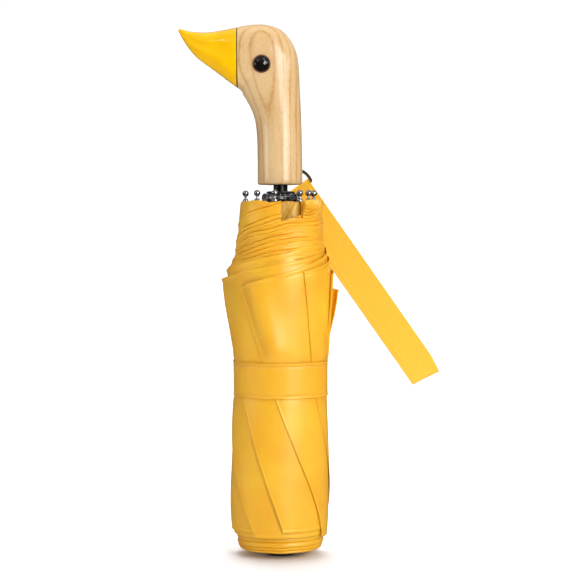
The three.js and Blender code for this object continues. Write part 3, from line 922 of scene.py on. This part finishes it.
def make_beak():
    """The beak, with a faint ridge along each cheek and a rounded tip."""
    stations = refine(BEAK_OVALS)
    rows = []
    for n, s in enumerate(stations):
        along = n / (len(stations) - 1)
        ridge = 0.13 * smooth(along / 0.3) * (1 - 0.3 * along)
        rows.append(oval(s, mix(2.4, 1.95, smooth(along / 0.5)), ridge))
    rows[0] = shrunk(rows[0], 0.001)
    rim = [p + Vector((0.25, 0, 0)) for p in shrunk(rows[0], 0.45)]
    tip = []
    for inset, shift in ((0.6, (-0.35, 0, 0.12)), (0.95, (-0.5, 0, 0.2))):
        tip.append([p + Vector(shift) for p in shrunk(rows[-1], inset)])
    rows = [rim] + rows + tip
    head_piece("duck_beak", rows, BEAK_PAINT, slot="beak_lacquer", replaces=["beak"], sharp=70)


def make_seam():
    """The dark painted line where the beak meets the wood."""
    first = oval(BEAK_OVALS[0], 2.42)
    rows = []
    for shift, inset in ((1.1, 0.3), (0.85, -0.1), (-0.15, -0.1), (-0.4, 0.3)):
        rows.append([p + Vector((shift, 0, 0)) for p in shrunk(first, inset)])
    head_piece("beak_seam", rows[::-1], SEAM_PAINT, slot="beak_lacquer")


EYE_CENTRE = Vector((-10.4, 0, 274.4))
EYE_RADIUS = 4.8
EYE_SIDES = 48
DOME_FOOT = 14.0  # from the head's middle to where an eye's dome begins
DOME_RISE = 3.3


def eye_ring(radius, out, side):
    around_eye = arc([360 * j / EYE_SIDES for j in range(EYE_SIDES)], radius, side * radius)
    return [EYE_CENTRE + Vector((x, side * out, z)) for x, z in around_eye]


def make_eye(name, side):
    """A domed glass-black button with a thin socket rim."""
    profile = [(1.4, 9.0), (4.5, 12.9), (4.78, 13.6)]
    profile += arc(range(0, 90, 6), EYE_RADIUS, DOME_RISE, (0, DOME_FOOT))
    profile.append((0.12, DOME_FOOT + DOME_RISE))
    rows = [eye_ring(radius, out, side)[::-1] for radius, out in profile]
    head_piece(name + "_dome", rows, EYE_GLOSS, slot="eye_black", replaces=[name], sharp=60)
    rim = eye_ring(EYE_RADIUS - 0.08, DOME_FOOT + 0.05, side)
    wire(name + "_rim", rim, 0.34, EYE_RIM, closed=True, body="handle_set", slot="eye_black")


make_handle()
make_beak()
make_seam()
make_eye("eye_left", -1)
make_eye("eye_right", 1)


# ---- shaft, foot and runner ----

TUBE_WALL = 0.45


def tube_profile(outer, low, high, round_over=0.15):
    """A tube's wall as (radius, height) points, with its outer edges eased."""
    inner = outer - TUBE_WALL
    return [
        (inner, low), (outer - round_over, low), (outer, low + round_over), (outer, high - round_over),
        (outer - round_over, high), (inner, high), (inner, low),
    ]


FOOT_CAP = [
    (0.5, 0), (8.4, 0), (8.9, 0.15), (9.2, 0.5), (9.3, 0.95), (9.3, 2.1), (9.15, 2.45), (8.8, 2.6),
    (3.4, 2.6), (3.4, 6.7), (0.5, 6.7),
]
RUNNER = [
    (5.75, 182), (6.8, 182), (7.0, 182.3), (7.0, 196), (6.6, 197.5), (6.4, 202.9), (7.4, 203.3),
    (7.9, 203.5), (8.0, 203.8), (7.9, 204.1), (7.4, 204.3), (6.3, 204.4), (5.75, 204.2), (5.75, 182),
]


def make_shaft():
    for name, cad, outer, body in (
        ("grip_tube", "handle_tube", 4.0, "handle_set"),
        ("sliding_tube", "middle_tube", 4.7, "middle_shaft"),
    ):
        low, high = (corner.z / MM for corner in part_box(cad))
        turned(name, tube_profile(outer, low, high), SHAFT_COAT, 64, False, body=body, replaces=[cad],
               slot="shaft_black")
    turned("foot_button", FOOT_CAP, BLACK_PLASTIC, body="folded_frame", replaces=["foot_cap"],
           slot="foot_plastic")
    turned("runner_body", RUNNER, BLACK_PLASTIC, 64, False, body="folded_frame", replaces=["runner"],
           slot="runner_plastic")


def plate(points, outline, place, side, thick):
    """Adds a flat plate, drawn as (out, height) points, to a list of points and returns its faces."""
    faces = tube_faces(len(points), len(outline), 2)
    for across in (side, side + thick):
        points.extend(place(out, across, z) for out, z in outline)
    return [face[::-1] for face in faces]


FORK_OUTLINE = [
    (6.9, 198.2), (7.4, 196.6), (8.9, 196.4), (10.0, 198.2), (10.6, 200.4), (10.3, 202.2), (9.2, 203.3),
    (8.0, 203.2), (7.0, 202.0),
]
ARM_OUTLINE = [(8.2, 104), (9.3, 104), (9.3, 198.5), (8.2, 198.5)]
FORK_PIN = (8.7, 200.2)


def make_fork(k):
    """A stretcher, with its forked end at the runner and the pin across it."""
    low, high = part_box(f"stretcher_{k}")
    middle = (low + high) / 2
    phi = math.degrees(math.atan2(middle.x, -middle.y))

    def place(out, across, z):
        return round_point(phi, out, z) + round_point(phi + 90, across, 0)

    points, faces = [], []
    for side in (-1.55, 1.05):
        faces += plate(points, FORK_OUTLINE, place, side, 0.5)
    faces += plate(points, ARM_OUTLINE, place, -0.8, 1.6)
    name = f"stretcher_fork_{k}"
    mesh = mesh_of(name, points, faces)
    new_object(name, mesh, RIB_STEEL, "folded_frame", [f"stretcher_{k}"], "rib_steel")
    pin = [place(FORK_PIN[0], across, FORK_PIN[1]) for across in (-2.1, 2.1)]
    wire(f"fork_pin_{k}", pin, 0.65, WIRE_STEEL, body="folded_frame", slot="rib_steel")


TIP_BASE = 198.0
BALL_RADIUS = 1.85
# A rib's tip up to its ball, as (radius, height above its base): the collar, then the thin neck.
TIP_PROFILE = [
    (0.3, -0.6), (1.35, -0.5), (1.65, 0), (1.65, 1.4), (1.3, 1.9), (0.8, 2.3), (0.72, 3.2), (0.8, 3.7),
]
BALL_RISE = 5.1  # from the tip's base to the ball's middle


def end_middle(name, z):
    """The middle of the part of a CAD node that lies within 0.4 mm of a height, in millimetres."""
    near = [v.co for v in frame["nodes"][name].data.vertices if abs(v.co.z - z) < 0.4 * MM]
    return sum(near, Vector()) / len(near) / MM


def make_outer_rib(k):
    """An outer rib: its wire, and the collar and ball that stand out of the hem."""
    cad = f"outer_rib_{k}"
    low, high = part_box(cad)
    foot = end_middle(cad, low.z)
    foot.z = 14.0
    tip = end_middle(cad, high.z)
    tip.z = 0.0
    profile = TIP_PROFILE + arc(range(-60, 90, 12), BALL_RADIUS, BALL_RADIUS, (0, BALL_RISE))
    profile.append((0.15, BALL_RISE + BALL_RADIUS))
    rows = [[tip + round_point(15 * j, r, TIP_BASE + up) for j in range(24)] for r, up in profile]
    skin(f"rib_tip_{k}", rows, RIB_STEEL, closed=True, caps=True, body="folded_frame", slot="rib_steel")
    top = tip + Vector((0, 0, TIP_BASE))
    wire(f"rib_wire_{k}", [foot, mix(foot, top, 0.5), top], 0.8, RIB_STEEL, body="folded_frame",
         replaces=[cad], slot="rib_steel")


make_shaft()
for k in range(1, 9):
    make_fork(k)
    make_outer_rib(k)


# ---- strap, ring and staple ----


def joint_place(name):
    """Where a joint's axis is, in millimetres."""
    joint = next(j for j in frame["joints"] if j["name"] == name)
    return Vector(joint["pos_m"]) / MM


SLOPE = math.radians(35)
ACROSS = Vector((-math.cos(SLOPE), 0, -math.sin(SLOPE)))  # along the ring's bar
DOWN = Vector((math.sin(SLOPE), 0, -math.cos(SLOPE)))  # down the strap
BAR = joint_place("strap_swing")
STAPLE = joint_place("ring_swing")
STRAP_LENGTH = 130.0
STRAP_WIDTH = 18.3
RING_HALF = 10.25
RING_SHOULDER = 4.0  # from the bar to where the ring's round end begins
RING_CORNER = 1.2  # how far a corner of the bar turns out, and it turns up a little more
RING_CORNER_RISE = 1.4
STAPLE_HALF = 2.5
STAPLE_DEPTH = 7.0  # from the ring's axis in to the ends of its legs
STAPLE_LEG = 0.9  # from the ring's axis out to where its legs bend round
STAPLE_BEND = 1.35


def make_ring():
    """The D-shaped ring: a straight bar for the strap under a round end that hangs on the staple."""
    up = (STAPLE - BAR).normalized()
    rise = (STAPLE - BAR).length - RING_SHOULDER
    bar = [((RING_HALF - RING_CORNER) * n / 6, 0) for n in range(-6, 7)]
    middle = (RING_HALF - RING_CORNER, RING_CORNER_RISE)
    corner = arc(range(-75, 0, 15), RING_CORNER, RING_CORNER_RISE, middle)
    bow = arc(range(0, 185, 5), RING_HALF, rise, (0, RING_SHOULDER))
    other_corner = [(-across, above) for across, above in corner[::-1]]
    path = [BAR + ACROSS * across + up * above for across, above in bar + corner + bow + other_corner]
    wire("strap_d_ring", path, 0.95, RING_STEEL, closed=True, sides=6, body="ring",
         replaces=["strap_ring"], slot="ring_steel")


def make_staple():
    """A wire staple driven into the wood, on the side away from the camera."""
    out = Vector((0, 1, 0))
    across = DOWN * STAPLE_HALF
    path = [STAPLE - across - out * STAPLE_DEPTH, STAPLE - across + out * STAPLE_LEG]
    for side, rise in arc(range(20, 180, 20), 1, STAPLE_BEND, (0, STAPLE_LEG)):
        path.append(STAPLE - across * side + out * rise)
    path += [STAPLE + across + out * STAPLE_LEG, STAPLE + across - out * STAPLE_DEPTH]
    wire("ring_staple", path, 0.78, RING_STEEL, sides=6, body="handle_set", replaces=["strap_staple"],
         slot="ring_steel")


# Half the strap's loop from the side: (down the strap, off its middle plane).
STRAP_SIDE = [(0, 1.9), (12, 2.2), (26, 3.5), (40, 3.9), (96, 3.9), (114, 3.2), (125, 1.6), (129.2, 0.75)]
STRAP_FOLD = 0.35  # half the gap inside the fold at its lower end
# Places across the strap, closer at the stitch lines and the edges.
STRAP_ACROSS = [
    -1, -0.97, -0.9, -0.8, -0.74, -0.68, -0.5, -0.25, 0, 0.25, 0.5, 0.68, 0.74, 0.8, 0.9, 0.97, 1,
]


def strap_line():
    """The strap's middle line as (down it, off its plane), from its end up, round the bar and back."""
    steps = [STRAP_LENGTH * i / 60 for i in range(60)]
    side = [(s, curve_through(STRAP_SIDE, s)) for s in steps if s < STRAP_SIDE[-1][0]]
    over = arc(range(105, 270, 15), STRAP_SIDE[0][1], STRAP_SIDE[0][1])
    back = [(s, -off) for s, off in side]
    return [(STRAP_LENGTH, STRAP_FOLD)] + side[::-1] + over + back + [(STRAP_LENGTH, -STRAP_FOLD)]


def strap_row(s, off, normal):
    """The points across the strap at one place of its middle line."""
    row = []
    for w in STRAP_ACROSS:
        edge = abs(w)
        puff = -0.12 * bell(edge - 0.74, 0.035) - 0.25 * smooth((edge - 0.93) / 0.07)
        bow = 0.25 * math.sin(s / 21 + w) * smooth(s / 20)
        down = s + normal.x * puff + 2.4 * smooth((s - 100) / 30) * (1 - w) / 2
        away = off + normal.y * puff + bow * 0.3
        trim = 0.17 * min(max((s - 120) / 11, 0), 1) * max(-w, 0)
        row.append(BAR + DOWN * down + Vector((0, away, 0)) + ACROSS * ((w + trim) * STRAP_WIDTH / 2))
    return row


def strap_weave(rows):
    """Each point's place on the webbing in centimetres: across, and along."""
    middle = len(STRAP_ACROSS) // 2
    along = 0.0
    uvs = []
    for i, row in enumerate(rows):
        along += (row[middle] - rows[i - 1][middle]).length / 10 if i else 0.0
        uvs += [(w * STRAP_WIDTH / 20, along) for w in STRAP_ACROSS]
    return uvs


def make_strap():
    """The webbing loop, with a stitch line near each edge and a slanted fold at its lower end."""
    line = strap_line()
    rows = []
    for i, (s, off) in enumerate(line):
        before, after = line[max(i - 1, 0)], line[min(i + 1, len(line) - 1)]
        tangent = Vector((after[0] - before[0], after[1] - before[1])).normalized()
        rows.append(strap_row(s, off, Vector((-tangent.y, tangent.x))))
    strap = cloth("wrist_loop", rows, WEBBING, 0.9, uvs=strap_weave(rows), offset=0, body="strap",
                  replaces=["wrist_strap"], slot="strap_webbing")


make_ring()
make_staple()
make_strap()


# ---- finishes on the CAD nodes that stay ----

KEPT = {
    "crown": BLACK_PLASTIC, "crown_wire": WIRE_STEEL, "runner_wire": WIRE_STEEL,
    "runner_catch": WIRE_STEEL, "outer_tube": SHAFT_COAT,
}
for k in range(1, 9):
    KEPT[f"inner_rib_{k}"] = RIB_STEEL
    KEPT[f"middle_rib_{k}"] = RIB_STEEL
for name, material in KEPT.items():
    frame["nodes"][name].material_slots[0].material = material


# ---- floor, backdrop and light ----

BACK_EDGE = 1.2  # metres behind the shaft, where the floor starts to curve up
CURVE = 0.6


def make_stage():
    """A pale floor that curves up into a backdrop, in metres."""
    n = Nodes("pale_floor")
    tone = n.noise(n.coordinates(), 2.0, 2)
    n.finish(n.ramp(tone, [(0.3, (0.9, 0.91, 0.93)), (0.7, (0.92, 0.93, 0.95))]), Roughness=0.8)
    profile = [(-3.0, 0.0), (BACK_EDGE, 0.0)]
    profile += arc(range(-80, 10, 10), CURVE, CURVE, (BACK_EDGE, CURVE))
    profile.append((BACK_EDGE + CURVE, 3.5))
    rows = [[Vector((x, y, z)) / MM for x in (-4, 4)] for y, z in profile]
    stage = skin("floor", rows, n.material)
    stage.visible_glossy = False


def area_light(name, place, aim, size, energy, spread=180, glossy=True):
    data = bpy.data.lights.new(name, "AREA")
    data.shape = "RECTANGLE"
    data.size, data.size_y = size
    data.energy = energy
    data.spread = math.radians(spread)
    light = bpy.data.objects.new(name, data)
    light.visible_glossy = glossy
    light.location = place
    light.rotation_euler = (Vector(aim) - Vector(place)).to_track_quat("-Z", "Z").to_euler()
    bpy.context.collection.objects.link(light)


def make_world():
    """A studio that is bright overhead and dim round the sides."""
    world = bpy.data.worlds.new("studio")
    bpy.context.scene.world = world
    world.use_nodes = True
    tree = world.node_tree
    where = tree.nodes.new("ShaderNodeTexCoord")
    split = tree.nodes.new("ShaderNodeSeparateXYZ")
    ramp = tree.nodes.new("ShaderNodeValToRGB")
    tree.links.new(where.outputs["Generated"], split.inputs["Vector"])
    tree.links.new(split.outputs["Z"], ramp.inputs["Fac"])
    tree.links.new(ramp.outputs["Color"], tree.nodes["Background"].inputs["Color"])
    for element, place, grey in zip(ramp.color_ramp.elements, (0.1, 0.75), (0.09, 0.4)):
        element.position = place
        element.color = (grey, grey, grey, 1)


def make_lights():
    """A big soft key from the right, fills, small glints, and lights for the floor and backdrop."""
    area_light("key", (0.66, -1.0, 0.5), (0, 0, 0.16), (0.5, 0.8), 9.9)
    area_light("right_fill", (1.1, -0.5, 0.5), (0, 0, 0.16), (0.07, 0.8), 1.7)
    area_light("left_fill", (-1.0, -0.75, 0.4), (0, 0, 0.16), (0.4, 0.8), 1.5, glossy=False)
    area_light("left_strip", (-1.1, -0.3, 0.3), (0, 0, 0.17), (0.045, 0.6), 1.1)
    area_light("right_glint", (0.45, -0.7, 1.2), (0, 0, 0.25), (0.12, 0.12), 0.9)
    area_light("left_glint", (-0.7, -0.7, 0.95), (0, 0, 0.25), (0.12, 0.12), 0.7)
    area_light("top", (0.0, 0.65, 1.6), (0, 0.65, 0), (1.0, 1.6), 7.5, spread=80, glossy=False)
    area_light("backdrop", (0, 0.7, 1.5), (0, 1.8, 0.3), (1.2, 0.5), 12.6, glossy=False)


make_stage()
make_world()
make_lights()
bpy.context.scene.view_settings.view_transform = "Standard"
bpy.context.scene.view_settings.look = "None"
